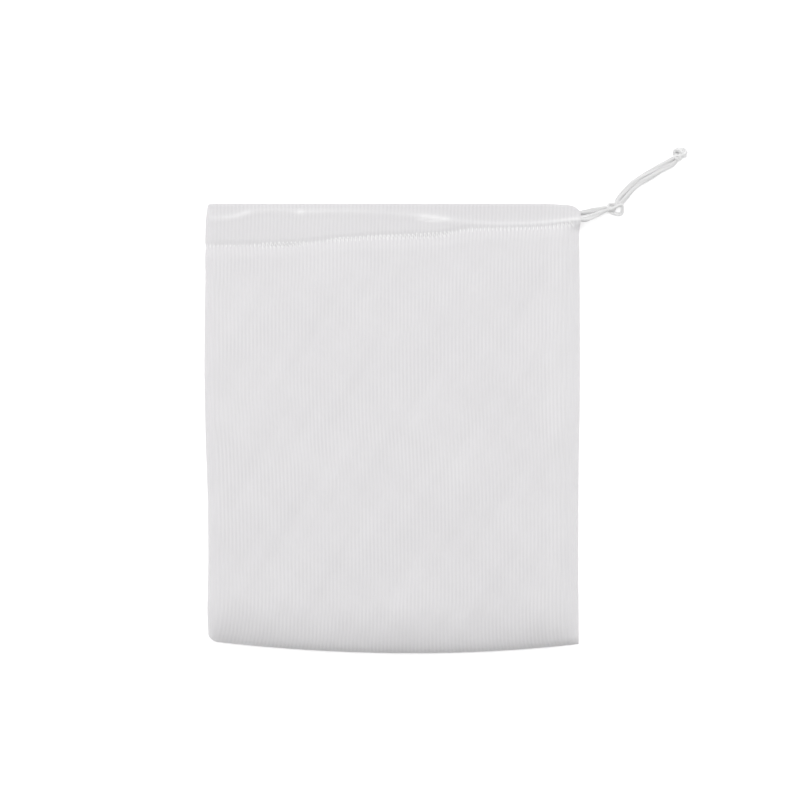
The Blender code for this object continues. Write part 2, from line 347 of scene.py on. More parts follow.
def make_studio():
    """A white world and floor, lit from above and from both sides."""
    world = bpy.data.worlds.new("studio")
    world.use_nodes = True
    background = world.node_tree.nodes["Background"]
    background.inputs["Color"].default_value = (1.0, 1.0, 1.0, 1.0)
    background.inputs["Strength"].default_value = 0.40
    bpy.context.scene.world = world
    make_light("overhead", (0.0, 1.05, 2.6), (3.0, 2.0), 50.0)
    make_light("left", (-1.5, 0.2, 0.8), (0.9, 1.4), 7.8)
    make_light("right", (1.5, 0.2, 0.8), (0.9, 1.4), 6.6)
    bpy.ops.mesh.primitive_plane_add(size=8.0, location=(0.0, 0.0, 0.0))
    floor = bpy.context.object
    floor.name = "floor"
    white = Finish("floor_white", Roughness=0.9, Emission_Strength=0.3)
    white.shader.inputs["Base Color"].default_value = grey(0.93)
    white.shader.inputs["Emission Color"].default_value = grey(1.0)
    floor.data.materials.append(white.material)
    bpy.context.scene.view_settings.view_transform = "Standard"


# --- curves and tubes


def smooth_route(route, spacing):
    """Evenly spaced points on a smooth curve through the route's own points."""
    steps = 24
    route = [Vector(point) for point in route]
    ends = [route[0] * 2 - route[1], *route, route[-1] * 2 - route[-2]]
    fine = []
    for a, b, c, d in zip(ends, ends[1:], ends[2:], ends[3:]):
        for i in range(steps):
            t = i / steps
            onward = (c - a) * t + (a * 2 - b * 5 + c * 4 - d) * t ** 2 + (b * 3 - a - c * 3 + d) * t ** 3
            fine.append(b + onward / 2)
    fine.append(route[-1])
    fine = np.array(fine)
    run = travelled(fine)
    want = np.linspace(0.0, run[-1], max(int(round(run[-1] / spacing)), 2) + 1)
    return np.stack([np.interp(want, run, fine[:, k]) for k in range(3)], axis=1)


def travelled(points):
    """Distance along a line of points, at each of them."""
    return np.concatenate([[0.0], np.cumsum(np.linalg.norm(np.diff(points, axis=0), axis=1))])


def carried_frames(points):
    """Side and top directions along a curve, carried without twisting."""
    tangents = np.gradient(points, axis=0)
    tangents /= np.linalg.norm(tangents, axis=1)[:, None]
    side = np.cross((0.0, 0.0, 1.0), tangents[0])
    if np.linalg.norm(side) < 1e-6:
        side = np.array((0.0, 1.0, 0.0))
    sides = []
    for tangent in tangents:
        side = side - tangent * side.dot(tangent)
        side /= np.linalg.norm(side)
        sides.append(side)
    sides = np.array(sides)
    return sides, np.cross(tangents, sides)


def add_stored(mesh, name, values):
    """Keep a number or a vector on each point."""
    values = np.asarray(values, np.float32)
    kind = "FLOAT" if values.ndim == 1 else "FLOAT_VECTOR"
    key = "value" if values.ndim == 1 else "vector"
    mesh.attributes.new(name, kind, "POINT").data.foreach_set(key, values.ravel())


def new_piece(name, points, faces, material):
    mesh = bpy.data.meshes.new(name)
    mesh.from_pydata([tuple(p) for p in points], [], faces)
    mesh.update()
    mesh.shade_smooth()
    piece = bpy.data.objects.new(name, mesh)
    mesh.materials.append(material)
    bpy.context.scene.collection.objects.link(piece)
    return piece


def laid_tube(points, radius, around=20, start=0.0):
    """A soft laid cord: plies that turn round each other.

    Returns its points, its faces, and each point's place on it: round it, along it and how far out.
    """
    sides, tops = carried_frames(points)
    run = travelled(points)
    radius = np.broadcast_to(radius, (len(points),))
    angle = np.arange(around) * 2 * math.pi / around
    turn = np.concatenate([[0.0], np.cumsum(np.diff(run) / (radius[1:] * PLY_LAY))]) + start
    lift = np.abs(np.cos((angle[None, :] - turn[:, None]) * PLIES / 2)) ** 0.7
    reach = radius[:, None] * (1.0 - PLY_DEPTH + PLY_DEPTH * lift)
    shape = points[:, None, :] + reach[..., None] * (
        np.cos(angle)[None, :, None] * sides[:, None, :] + np.sin(angle)[None, :, None] * tops[:, None, :]
    )
    count = len(points)
    verts = list(shape.reshape(-1, 3)) + [points[0], points[-1]]
    first, last = len(verts) - 2, len(verts) - 1
    faces = []
    for k in range(around):
        n = (k + 1) % around
        faces.append((first, n, k))
        faces.append((last, (count - 1) * around + k, (count - 1) * around + n))
        faces += [(i * around + k, i * around + n, (i + 1) * around + n, (i + 1) * around + k)
                  for i in range(count - 1)]
    places = np.stack(np.broadcast_arrays(angle[None, :] - turn[:, None], run[:, None], lift), axis=2)
    places = np.vstack([places.reshape(-1, 3), [[0.0, 0.0, 0.3], [0.0, run[-1], 0.3]]])
    return verts, faces, places


def new_strands(name, tubes, material):
    """One piece of one or more tubes."""
    verts, faces, places = [], [], []
    for tube in tubes:
        base = len(verts)
        verts += list(tube[0])
        faces += [tuple(i + base for i in face) for face in tube[1]]
        places.append(tube[2])
    piece = new_piece(name, verts, faces, material)
    add_stored(piece.data, "strand_place", np.vstack(places))
    return piece


def as_string(piece, *nodes):
    """The piece goes with the drawstring and stands for these of its solids."""
    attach(piece, "drawstring")
    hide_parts(*nodes)


# --- drawstring


def from_corner(x, y, z):
    """A place measured across and along from the mouth's right-hand corner."""
    return Vector((SIDE + x, MOUTH_Y + y, z))


def lead_route(route, start_z, land_z):
    """A lead from the hem's level down to where it lands, by the share of the drop left at each point."""
    return [from_corner(x, y, land_z + (start_z - land_z) * share) for x, y, share in route]


def tail_route(side):
    """One strand of the tail: the two lie against each other, each riding up on the other in turn."""
    centre = [from_corner(x, y, 0.0) for x, y in TAIL_PAIR]
    route = []
    for i, point in enumerate(centre):
        ahead = centre[min(i + 1, len(centre) - 1)] - centre[max(i - 1, 0)]
        across = Vector((-ahead.y, ahead.x, 0.0)).normalized()
        wrap = TAIL_WRAP * math.sin(2 * math.pi * i / (len(centre) - 1))
        spread = TAIL_APART * math.cos(wrap) * side
        lift = TAIL_RADIUS + TAIL_APART * max(math.sin(wrap) * side, 0.0)
        shift = across * (-TAIL_SHIFT * max(1.0 - i / 2, 0.0))
        route.append(point + shift + across * spread + Vector((0.0, 0.0, lift)))
    return route


def strand_width(points):
    """Its radius: full where it lies slack, thin where it is pulled tight beside a knot."""
    share = travelled(points) / travelled(points)[-1]
    knots = bell(share - LEAD_SHARE, KNOT_SHARE) + bell(share - 1.0, KNOT_SHARE)
    full = LEAD_RADIUS + (TAIL_RADIUS - LEAD_RADIUS) * ease(share / WIDENING_SHARE)
    return full - (full - TIGHT_RADIUS) * np.clip(knots, 0.0, 1.0)


def make_strand(name, lead, side, material, nodes):
    """A free strand, from the hem's open end through the stopper knot to the end knot."""
    knot = from_corner(*STOPPER_KNOT, KNOT_Z)
    end = from_corner(*END_KNOT, KNOT_Z)
    into = knot + Vector((STOPPER_IN[0], side * STOPPER_IN[1], 0.0))
    out = knot + Vector((*STOPPER_OUT, 0.0))
    points = smooth_route(lead + [into, out] + tail_route(side) + [end], spacing=0.0004)
    widths = strand_width(points)
    points[:, 2] = np.maximum(points[:, 2], widths + FLOOR_GAP)
    piece = new_strands(name, [laid_tube(points, widths, start=side)], material)
    as_string(piece, *nodes)


def make_hem_string(material):
    """The string's loop inside the hem. Returns its front and back runs."""
    turn_y = MOUTH_Y - TURN_BELOW_MOUTH
    radius = (FRONT_Z - BACK_Z) / 2
    front = [from_corner(x, y, FRONT_Z) for x, y in FRONT_RUN] + [Vector((TURN_X, turn_y, FRONT_Z))]
    back = [Vector((TURN_X, turn_y, BACK_Z))] + [from_corner(x, y, BACK_Z) for x, y in BACK_RUN]
    turn = []
    steps = 8
    for i in range(1, steps):
        angle = math.pi * (0.5 + i / steps)
        turn.append(Vector((TURN_X + radius * math.cos(angle), turn_y, MIDDLE_Z + radius * math.sin(angle))))
    points = smooth_route(front + turn + back, spacing=0.0006)
    piece = new_strands("string_in_hem", [laid_tube(points, LEAD_RADIUS, around=14)], material)
    as_string(piece, "casing_cord")
    return points[points[:, 2] > MIDDLE_Z], points[points[:, 2] <= MIDDLE_Z]


def make_knot(name, centre, route, radius, apart, material):
    """A knot tied in the doubled string: two strands laid side by side along one route."""
    points = smooth_route([centre + Vector(place) / 1000 for place in route], spacing=0.00035)
    sides, _ = carried_frames(points)
    tubes = []
    run = travelled(points)
    parted = ease(run / KNOT_PARTS_OVER) * ease((run[-1] - run) / KNOT_PARTS_OVER) * apart
    for side in (-1, 1):
        beside = points + sides * parted[:, None] * side
        beside[:, 2] = np.maximum(beside[:, 2], radius + FLOOR_GAP)
        tubes.append(laid_tube(beside, radius, around=14, start=side * 0.9))
    piece = new_strands(name, tubes, material)
    as_string(piece, name.replace("_tied", ""))
    return piece


# The stopper knot's route about its middle on the floor, in millimetres: in, round, back over itself and out
STOPPER_ROUTE = [
    (-5.6, -0.2, 2.4), (-3.6, -1.0, 2.0), (-1.2, -2.3, 1.7), (1.6, -3.2, 1.7), (4.1, -2.9, 2.2),
    (5.0, -0.5, 3.1), (4.5, 2.3, 3.9), (2.0, 2.2, 4.6), (-0.6, 0.9, 5.0), (-3.2, -0.4, 4.6),
    (-4.9, 0.9, 3.4), (-4.0, 3.1, 2.6), (-1.6, 3.4, 2.2), (0.4, 3.2, 2.0), (1.7, 5.4, 1.8),
]


def overhand_route(scale, turn, rise, start, end):
    """An overhand knot's three lobes, in millimetres, with its ends led off along the strands."""
    spin = math.radians(turn)
    places, first, sweep = 28, 24.0, 312.0
    route = [start]
    for i in range(places):
        t = math.radians(first + sweep * i / (places - 1))
        x, y = math.sin(t) + 2.0 * math.sin(2.0 * t), 2.0 * math.cos(2.0 * t) - math.cos(t)
        route.append((
            scale * (x * math.cos(spin) - y * math.sin(spin)),
            scale * (x * math.sin(spin) + y * math.cos(spin)),
            rise + 1.0 - rise * math.sin(3.0 * t),
        ))
    return route + [end]


# --- cloth

SEAM_COLUMNS, FLAT_COLUMNS, FOLD_COLUMNS = 10, 98, 25
NOSE_ROWS, BODY_ROWS, RISE_ROWS, HEM_ROWS, EDGE_ROWS, INSIDE_ROWS = 16, 58, 17, 17, 6, 18
# How the rows crowd towards the bottom's edge, and towards the stitched line
NOSE_CROWDING, RISE_CROWDING = 1.7, 0.85
RISE_LENGTH = 0.03
INSIDE_TAIL, TAIL_LOST_WITHIN = 0.0032, 0.012
HEM_MIDDLE_Y = 0.14
EDGE_ROUND = 0.0012
HEM_SLACK = 0.00125
# Near the sewn side the cloth takes the hem's height late on its way up
LATE_WITHIN = 0.024
LATE_FROM, LATE_OVER = 0.72, 0.28

# The mouth's edge: how far it droops at its right end, and how far the string draws its corner in
MOUTH_LIFT = 0.0003
DROOP_FROM, DROOP_OVER, DROOP = 0.100, 0.030, 0.0016
DRAWN_FROM, DRAWN_OVER, DRAWN = 0.1185, 0.0105, 0.0046

# The hem's front off the string's level: at the stitched line, and how it puffs out below and above that
HEM_PINCH = 0.00045
PUFF_BELOW, BELOW_REACH = 0.00165, 0.009
PUFF_ABOVE, ABOVE_REACH = 0.00095, 0.0038
# The ridge the string makes in it, and the gathers along the stitches
STRING_CLEARANCE = 0.0005
RIDGE_REACH, RIDGE_FROM_LINE = 0.0029, 0.0021
CREASE, CREASE_PITCH, CREASE_REACH, CREASE_FROM_LINE = 0.00028, 0.0068, 0.007, 0.002
# The layer turned inside, below the string at the front and above it at the back
INNER_START, INNER_DROP, INNER_REACH, INNER_SLOPE = 0.00015, 0.0011, 0.0045, 0.25
INNER_BACK_START, INNER_BACK_DEPTH = 0.00055, 0.00135
INNER_RIDGE, INNER_RIDGE_REACH, INNER_RIDGE_FROM_LINE = 0.0006, 0.0022, 0.0015

# The rest: slow waves, and puckers (pitch, reach) beside the bottom and the side seam
WAVES_HEIGHT = 0.0012
PUCKER_HEIGHT = 0.0004
BOTTOM_PUCKER = (0.0075, 0.010)
SIDE_PUCKER = (0.0085, 0.009)
SEAM_RISE_REACH = 0.0012

# Marks on the cloth, how strong and how far: what shows through it, a painted light band by the stitched
# line, and where a margin whitens it
BACK_STRING_SHOWS, STRING_REACH = 0.3, 0.0016
SLACK_SHOWS, SLACK_REACH = 0.6, 0.0009
TURNED_IN_SHOWS = 0.4
# The painted light band: its strength, how far above the stitched line, its reach, its reach from the string,
# and where it starts and fades in across
PAINTED_LIGHT_BAND, PAINTED_LIGHT_BAND_ABOVE_LINE, PAINTED_LIGHT_BAND_REACH, PAINTED_LIGHT_BAND_BY_STRING = 0.55, 0.0014, 0.0012, 0.005
PAINTED_LIGHT_BAND_FROM_X, PAINTED_LIGHT_BAND_OVER = 0.015, 0.03
MARGIN_SHOWS, MARGIN_WITHIN, MARGIN_SOFTENS = 0.05, 0.023, 0.003
GATHERS_REACH = 0.0045
RIBS_LOST, RIBS_LOST_OVER = 0.65, 0.004
# Shade: over the whole hem, along the rounded bottom, and on the mouth's edge
HEM_SHADE, HEM_SHADE_OVER = 0.05, 0.002
UNDER_SHADE, UNDER_REACH, UNDER_FROM_X, UNDER_OVER = 0.40, 0.0042, -0.118, 0.06
EDGE_SHADE, EDGE_REACH = 0.12, 0.0010

# Places (y, x) down the folded edge, and down the sewn edge: both wander, as a limp cloth's do
FOLD_EDGE = [
    (-0.155, -0.1266), (-0.125, -0.1273), (-0.100, -0.1266), (-0.075, -0.1265), (-0.048, -0.1268),
    (-0.020, -0.1280), (0.006, -0.1288), (0.035, -0.1293), (0.062, -0.1293), (0.088, -0.1290),
    (0.105, -0.1286), (0.128, -0.1283), (0.140, -0.1280), (0.148, -0.1276), (0.155, -0.1262),
]
SEAM_EDGE = [
    (-0.155, 0.1285), (-0.130, 0.1284), (-0.105, 0.1281), (-0.048, 0.1282), (-0.020, 0.1284),
    (0.006, 0.1290), (0.035, 0.1293), (0.088, 0.1292), (0.128, 0.1289), (0.155, 0.1286),
]
# Places (x, y) along the hem's stitched line
HEM_LINE = [
    (-0.130, 0.1252), (-0.086, 0.1256), (-0.065, 0.1262), (-0.040, 0.1293), (-0.028, 0.1302),
    (-0.012, 0.1313), (0.011, 0.1317), (0.034, 0.1327), (0.044, 0.1350), (0.053, 0.1368),
    (0.075, 0.1372), (0.102, 0.1378), (0.112, 0.1392), (0.121, 0.1404), (0.130, 0.1414),
]
# How plainly the string shows through the front of the hem, by place along it
STRING_SHOWS = [
    (-0.130, 0.10), (-0.122, 0.30), (-0.112, 0.55), (-0.100, 0.75), (-0.094, 0.28), (-0.070, 0.22),
    (-0.066, 0.45), (-0.0625, 1.0), (-0.060, 0.42), (-0.030, 0.30), (0.000, 0.15), (0.014, 0.30),
    (0.022, 0.85), (0.036, 0.95), (0.042, 0.30), (0.060, 0.40), (0.095, 0.48), (0.108, 0.60),
    (0.118, 0.85), (0.130, 0.80),
]
# How far the stitches stand out of the cloth, by place along the hem
STITCHES_STAND = [
    (-0.130, 0.10), (-0.092, 0.15), (-0.086, 0.90), (-0.066, 0.95), (-0.058, 0.30), (-0.046, 0.30),
    (-0.040, 0.62), (-0.028, 0.58), (-0.022, 0.45), (0.004, 0.60), (0.012, 0.90), (0.034, 0.90),
    (0.042, 0.25), (0.060, 0.35), (0.078, 0.55), (0.096, 0.50), (0.106, 0.30), (0.116, 0.80), (0.130, 0.80),
]
# Where some of the string's slack lies doubled beside it, seen through the hem
SLACK = [(0.014, 0.1442), (0.020, 0.1430), (0.026, 0.1422), (0.032, 0.1420), (0.038, 0.1432)]


def ease(t):
    """From 0 to 1 with soft ends."""
    t = np.clip(t, 0.0, 1.0)
    return t * t * (3.0 - 2.0 * t)


def bell(distance, reach):
    """1 in the middle, fading to nothing on both sides."""
    return np.exp(-(distance / reach) ** 2)


def drawn_line(places, width):
    """A softened line through listed places, as a function."""
    samples = 600
    where, value = np.array(places).T
    fine = np.linspace(where[0], where[-1], samples)
    count = 2 * max(int(width / (fine[1] - fine[0])), 1) + 1
    kernel = np.hanning(count + 2)[1:-1]
    padded = np.pad(np.interp(fine, where, value), count // 2, mode="edge")
    soft = np.convolve(padded, kernel / kernel.sum(), mode="valid")
    return lambda at: np.interp(at, fine, soft)


fold_edge = drawn_line(FOLD_EDGE, 0.010)
seam_edge = drawn_line(SEAM_EDGE, 0.015)
hem_line = drawn_line(HEM_LINE, 0.010)
string_shows = drawn_line(STRING_SHOWS, 0.0015)
stitches_stand = drawn_line(STITCHES_STAND, 0.004)


def bottom_edge(x):
    """The sewn bottom, bowed, with its folded corner rounded."""
    bow = np.where(x < BOW_LOWEST_X, BOTTOM_BOW_LEFT, BOTTOM_BOW_RIGHT)
    half = np.where(x < BOW_LOWEST_X, SIDE + BOW_LOWEST_X, SIDE - BOW_LOWEST_X)
    inside = np.clip(SIDE + x, 0.0, CORNER_RADIUS)
    rise = CORNER_RADIUS - np.sqrt(CORNER_RADIUS ** 2 - (CORNER_RADIUS - inside) ** 2)
    return BOTTOM_Y - BOTTOM_SAG + bow * ((x - BOW_LOWEST_X) / half) ** 2 + rise


def mouth_edge(x):
    """The mouth's edge: straight, and drawn in at the corner where the string comes out."""
    corner = np.clip((x - DRAWN_FROM) / DRAWN_OVER, 0.0, 1.0)
    droop = np.clip((x - DROOP_FROM) / DROOP_OVER, 0.0, 1.0)
    return MOUTH_Y + MOUTH_LIFT - DROOP * droop ** 1.5 - DRAWN * corner ** 3.0


def crown(y):
    """How high the front cloth stands along the bag's middle."""
    belly_y = BOTTOM_Y + BELLY_FROM_BOTTOM
    return HEM_TOP_Z + (BELLY_Z - HEM_TOP_Z) * ease((HEM_EDGE_Y - y) / (HEM_EDGE_Y - belly_y))


def waver(x, y):
    """Slow unevenness of a limp cloth, -1 to 1."""
    # Each wave's share, its turns per metre across and along, and where it starts
    waves = (
        (0.9, 10.5, 6.5, 0.4), (0.7, -8.5, 15.5, 1.9), (0.55, 23.5, -11.5, 3.1),
        (0.4, 31.5, 29.0, 5.2), (0.35, -44.0, 20.5, 0.9), (0.25, 60.0, -38.0, 2.2),
    )
    total = sum(a * np.sin(2 * math.pi * (x * p + y * q) + s) for a, p, q, s in waves)
    return total / sum(a for a, _, _, _ in waves)


def pucker(along, off, pitch, reach):
    """Small gathers beside a row of stitches, fading with distance from it."""
    wave = np.sin(2 * math.pi * along / pitch + 1.3 * np.sin(along * 83.0) + 0.7 * np.sin(along * 211.0))
    return wave * np.exp(-np.abs(off) / reach)


def near_string(x, y, route):
    """Distance in plan from each place to the string inside the hem."""
    flat = np.stack([np.ravel(x), np.ravel(y)], axis=1)
    at_once = 4000
    best = [
        np.linalg.norm(flat[i:i + at_once, None, :] - route[None, ::3, :2], axis=2).min(axis=1)
        for i in range(0, len(flat), at_once)
    ]
    return np.concatenate(best).reshape(np.shape(x))


def string_gap(x, y, front, routes):
    """The same, from the front cloth to the string's front run and from the back cloth to its back run."""
    return np.where(front, near_string(x, y, routes[0]), near_string(x, y, routes[1]))


class Columns:
    """The cloth's columns: from the sewn edge along the back, round the fold, and along the front.

    turn is the angle round the fold, and flat the share of the flat part from the fold to the seam. On the
    rounding at the seam, inset is the place across and edge the height.
    """

    def __init__(self):
        seam = np.linspace(0.0, math.pi / 2, SEAM_COLUMNS, endpoint=False)
        flat = np.linspace(1.0, 0.0, FLAT_COLUMNS, endpoint=False)
        fold = np.linspace(-math.pi / 2, math.pi / 2, FOLD_COLUMNS)
        self.turn = np.concatenate([
            np.full(SEAM_COLUMNS + FLAT_COLUMNS, -math.pi / 2), fold,
            np.full(SEAM_COLUMNS + FLAT_COLUMNS, math.pi / 2),
        ])
        self.flat = np.concatenate([
            np.ones(SEAM_COLUMNS), flat, np.zeros(FOLD_COLUMNS), flat[::-1], np.ones(SEAM_COLUMNS),
        ])
        inset = 1.0 - np.cos(seam)
        middle = np.ones(2 * FLAT_COLUMNS + FOLD_COLUMNS)
        self.inset = np.concatenate([inset, middle, inset[::-1]])
        self.edge = np.concatenate([np.sin(seam), middle, np.sin(seam)[::-1]])
        self.front = self.turn >= 0.0
        self.frontness = (1.0 + np.sin(self.turn)) / 2.0

    def spread(self, left, y):
        """Places across, from where the flat part starts to the sewn edge."""
        start = seam_edge(y) - SEAM_ROUND
        rounding = np.where(self.flat == 1.0, (1 - self.inset) * SEAM_ROUND, 0)
        return left + self.flat * (start - left) + rounding


def folded_cloth(routes):
    """The whole blank as sewn: rows from the bottom seam up, over the mouth's edge, and down inside the hem.

    Returns its points, rows by columns, and the row where the hem is stitched.
    """
    cols = Columns()
    tall = (FRONT_Z - BACK_Z) / 2
    rows = []

    def both(front, back):
        """The front's value at the front, the back's at the back, and between them round the fold."""
        return back + (front - back) * cols.frontness

    def hem_x(y, offset):
        across = (TURN_X - fold_edge(y) - HEM_SLACK + offset) * np.cos(cols.turn)
        return cols.spread(TURN_X, y) - across

    def hem_z(offset):
        return MIDDLE_Z + (tall + offset) * np.sin(cols.turn)

    def outer(x, y):
        """How far the outer layer stands off the string's level."""
        gap = y - hem_line(x)
        below, above = PUFF_BELOW * ease(-gap / BELOW_REACH), PUFF_ABOVE * ease(gap / ABOVE_REACH)
        front = HEM_PINCH + np.where(gap < 0, below, above)
        short = np.clip(LEAD_RADIUS + STRING_CLEARANCE - front, 0.0, None)
        near = bell(string_gap(x, y, cols.front, routes), RIDGE_REACH)
        lifted = short * near * ease(gap / RIDGE_FROM_LINE)
        creased = CREASE * pucker(x, gap, CREASE_PITCH, CREASE_REACH) * ease(np.abs(gap) / CREASE_FROM_LINE)
        return both(front + lifted + creased, BACK_Z - FLOOR_CLOTH_Z)

    def inner(x, y):
        """The same for the layer turned inside."""
        gap = y - hem_line(x)
        near = bell(string_gap(x, y, cols.front, routes), INNER_RIDGE_REACH)
        lifted = INNER_RIDGE * near * ease(gap / INNER_RIDGE_FROM_LINE)
        front = -INNER_START - INNER_DROP * ease(gap / INNER_REACH) - np.clip(-gap, 0, None) * INNER_SLOPE
        flat_back = BACK_Z - FLOOR_CLOTH_Z - INNER_BACK_START
        back = flat_back - (flat_back + INNER_BACK_DEPTH) * ease(gap / INNER_REACH)
        return both(front, back) - lifted

    def panel_row(y_of, hem_share):
        """A row below the stitched line; hem_share is how far it has taken the hem's shape."""
        y = y_of(cols.spread(fold_edge(0.0) + cols.flat * 0, 0.0))
        round_ = np.where(cols.front, FOLD_ROUND, FOLD_UNDER_ROUND)
        x = cols.spread(fold_edge(y) + round_ * (1 - np.cos(cols.turn)), y)
        y = y_of(x)
        above = y - bottom_edge(x)
        nose = np.sqrt(np.clip(1 - (1 - np.clip(above / NOSE_LENGTH, 0, 1)) ** 2, 0, 1))
        top = SEAM_Z + (crown(y) - SEAM_Z) * nose * cols.edge
        full = np.clip(nose * cols.edge, 0, 1)
        soft = WAVES_HEIGHT * waver(x, y) * full ** 2
        soft = soft + PUCKER_HEIGHT * pucker(x, above, *BOTTOM_PUCKER) * np.clip(full * 3, 0, 1)
        soft = soft + PUCKER_HEIGHT * pucker(y, seam_edge(y) - x, *SIDE_PUCKER) * np.clip(full * 3, 0, 1)
        seam_gap = np.minimum(seam_edge(y) - x, np.maximum(above, 0.0))
        low = FLOOR_CLOTH_Z + (SEAM_Z - FLOOR_CLOTH_Z) * np.exp(-np.maximum(seam_gap, 0) / SEAM_RISE_REACH)
        middle = low + (top - low) * FOLD_SHARE
        lean = np.sin(cols.turn)
        z = np.where(cols.front, middle + (top - middle) * lean, middle + (middle - low) * lean)
        z = z + soft * np.clip(lean, 0, 1) * (1 - hem_share)
        offset = outer(x, y)
        share = hem_share
        if hem_share > 0:
            near_seam = 1 - ease((seam_edge(y) - x) / LATE_WITHIN)
            late = ease((hem_share - LATE_FROM) / LATE_OVER)
            share = hem_share + (late - hem_share) * near_seam
        x = x + (hem_x(y, offset) - x) * share
        z = z + (hem_z(offset) - z) * share
        rows.append(np.stack([x, y, z], axis=1))

    def between(start, stop, t):
        return lambda x: start(x) + (stop(x) - start(x)) * t

    def nose_end(x):
        return bottom_edge(x) + NOSE_LENGTH

    def rise_start(x):
        return hem_line(x) - RISE_LENGTH

    for i in range(NOSE_ROWS):
        panel_row(between(bottom_edge, nose_end, (i / NOSE_ROWS) ** NOSE_CROWDING), 0.0)
    for i in range(BODY_ROWS):
        panel_row(between(nose_end, rise_start, i / BODY_ROWS), 0.0)
    for i in range(RISE_ROWS):
        t = (i / RISE_ROWS) ** RISE_CROWDING
        panel_row(between(rise_start, hem_line, t), float(ease(t) * 0.45 + t ** 3 * 0.55))
    stitched = len(rows)

    def hem_row(y_of, offset_of, rise=0.0):
        """A row of the hem, outside or inside."""
        x = hem_x(HEM_MIDDLE_Y, HEM_SLACK)
        y = y_of(x)
        x = hem_x(y, HEM_SLACK)
        y = y_of(x)
        offset = offset_of(x, y)
        rows.append(np.stack([hem_x(y, offset), y + rise, hem_z(offset)], axis=1))

    def rounded_edge(x):
        return mouth_edge(x) - EDGE_ROUND

    def hem_end(x):
        return hem_line(x) - INSIDE_TAIL * ease((SIDE - x) / TAIL_LOST_WITHIN)

    for i in range(HEM_ROWS):
        hem_row(between(hem_line, rounded_edge, i / HEM_ROWS), outer)
    for i in range(EDGE_ROWS + 1):
        over = math.pi * i / EDGE_ROWS
        share = (1 + math.cos(over)) / 2
        hem_row(rounded_edge, lambda x, y: inner(x, y) + (outer(x, y) - inner(x, y)) * share,
                EDGE_ROUND * math.sin(over))
    for i in range(1, INSIDE_ROWS + 1):
        hem_row(between(rounded_edge, hem_end, i / INSIDE_ROWS), inner)
    return np.array(rows), stitched


def cloth_marks(grid, stitched, routes):
    """What shows behind the cloth with a painted light band, where it gathers, how plainly it is ribbed, and
    where shade is painted.
    """
    x, y = grid[..., 0], grid[..., 1]
    inside = np.arange(len(grid))[:, None] > stitched + HEM_ROWS + EDGE_ROWS // 2
    front = np.broadcast_to(Columns().front, x.shape)
    over_line = y - hem_line(x)

    gap = string_gap(x, y, front, routes)
    string = bell(gap, STRING_REACH) * np.where(front, string_shows(x), BACK_STRING_SHOWS)
    slack = smooth_route([(*place, 0.0) for place in SLACK], spacing=0.0004)
    ends = np.sin(math.pi * np.clip((x - SLACK[0][0]) / (SLACK[-1][0] - SLACK[0][0]), 0, 1)) ** 0.5
    doubled = bell(near_string(x, y, slack), SLACK_REACH) * SLACK_SHOWS * ends * front
    backing = np.maximum(string, doubled)
    backing = np.where(inside, backing * TURNED_IN_SHOWS, backing)
    # Painted light: a whiter band just above the stitched line beside the string, towards the right,
    # lightening the shade under the string's ridge
    painted_light_band = bell(over_line - PAINTED_LIGHT_BAND_ABOVE_LINE, PAINTED_LIGHT_BAND_REACH) * bell(gap, PAINTED_LIGHT_BAND_BY_STRING)
    painted_light_band = painted_light_band * PAINTED_LIGHT_BAND * ease((x - PAINTED_LIGHT_BAND_FROM_X) / PAINTED_LIGHT_BAND_OVER) * front
    margin = MARGIN_SHOWS * ease((x - (SIDE - MARGIN_WITHIN)) / MARGIN_SOFTENS)
    backing = np.maximum(np.maximum(backing, painted_light_band), margin)

    hem = HEM_SHADE * ease(over_line / HEM_SHADE_OVER)
    under = bell(y - bottom_edge(x), UNDER_REACH) * UNDER_SHADE
    under = under * ease((x - UNDER_FROM_X) / UNDER_OVER) * front
    rolled = bell(mouth_edge(x) - y, EDGE_REACH) * EDGE_SHADE * front
    return {
        "backing": backing, "gathers": bell(over_line, GATHERS_REACH),
        "ribbed": 1.0 - RIBS_LOST * ease(over_line / RIBS_LOST_OVER),
        "shade": np.maximum(np.maximum(under, rolled), hem),
    }


def cloth_places(grid):
    """Unrolled place of each point: across the cloth and along it, in metres.

    The wales run straight up from where each cloth's flat part starts, front and back, and meet at the fold.
    """
    cols = Columns()
    level = (cols.inset == 1.0) & (cols.flat > 0.0)
    steps = np.linalg.norm(np.diff(grid, axis=1), axis=2)
    steps = np.where(level[1:] & level[:-1], np.abs(np.diff(grid[..., 0], axis=1)), steps)
    run = np.hstack([np.zeros((len(grid), 1)), np.cumsum(steps, axis=1)])
    back = run - run[:, [SEAM_COLUMNS]]
    front = run - run[:, [-SEAM_COLUMNS - 1]] + back[len(grid) // 3, -SEAM_COLUMNS - 1]
    across = back + (front - back) * ease(cols.turn / (math.pi / 2) + 1.0)
    steps = np.linalg.norm(np.diff(grid, axis=0), axis=2)
    along = np.vstack([np.zeros(grid.shape[1]), np.cumsum(steps, axis=0)])
    return np.stack([across, along, along * 0], axis=2)


def sheet_piece(name, grid, places, marks, material, outwards=True):
    """A cloth piece from rows by columns of points, thickened inwards, or both ways where it faces down."""
    rows, cols = grid.shape[:2]
    faces = []
    for i in range(rows - 1):
        for k in range(cols - 1):
            first, second = i * cols + k, (i + 1) * cols + k
            faces.append((first, first + 1, second + 1, second) if outwards
                         else (first, second, second + 1, first + 1))
    piece = new_piece(name, grid.reshape(-1, 3), faces, material)
    add_stored(piece.data, "cloth_place", places.reshape(-1, 3))
    for mark, values in marks.items():
        add_stored(piece.data, mark, values.ravel())
    wall = piece.modifiers.new("wall", "SOLIDIFY")
    wall.thickness = CLOTH
    wall.offset = -1.0 if outwards else 0.0
    settle(piece)
    return piece


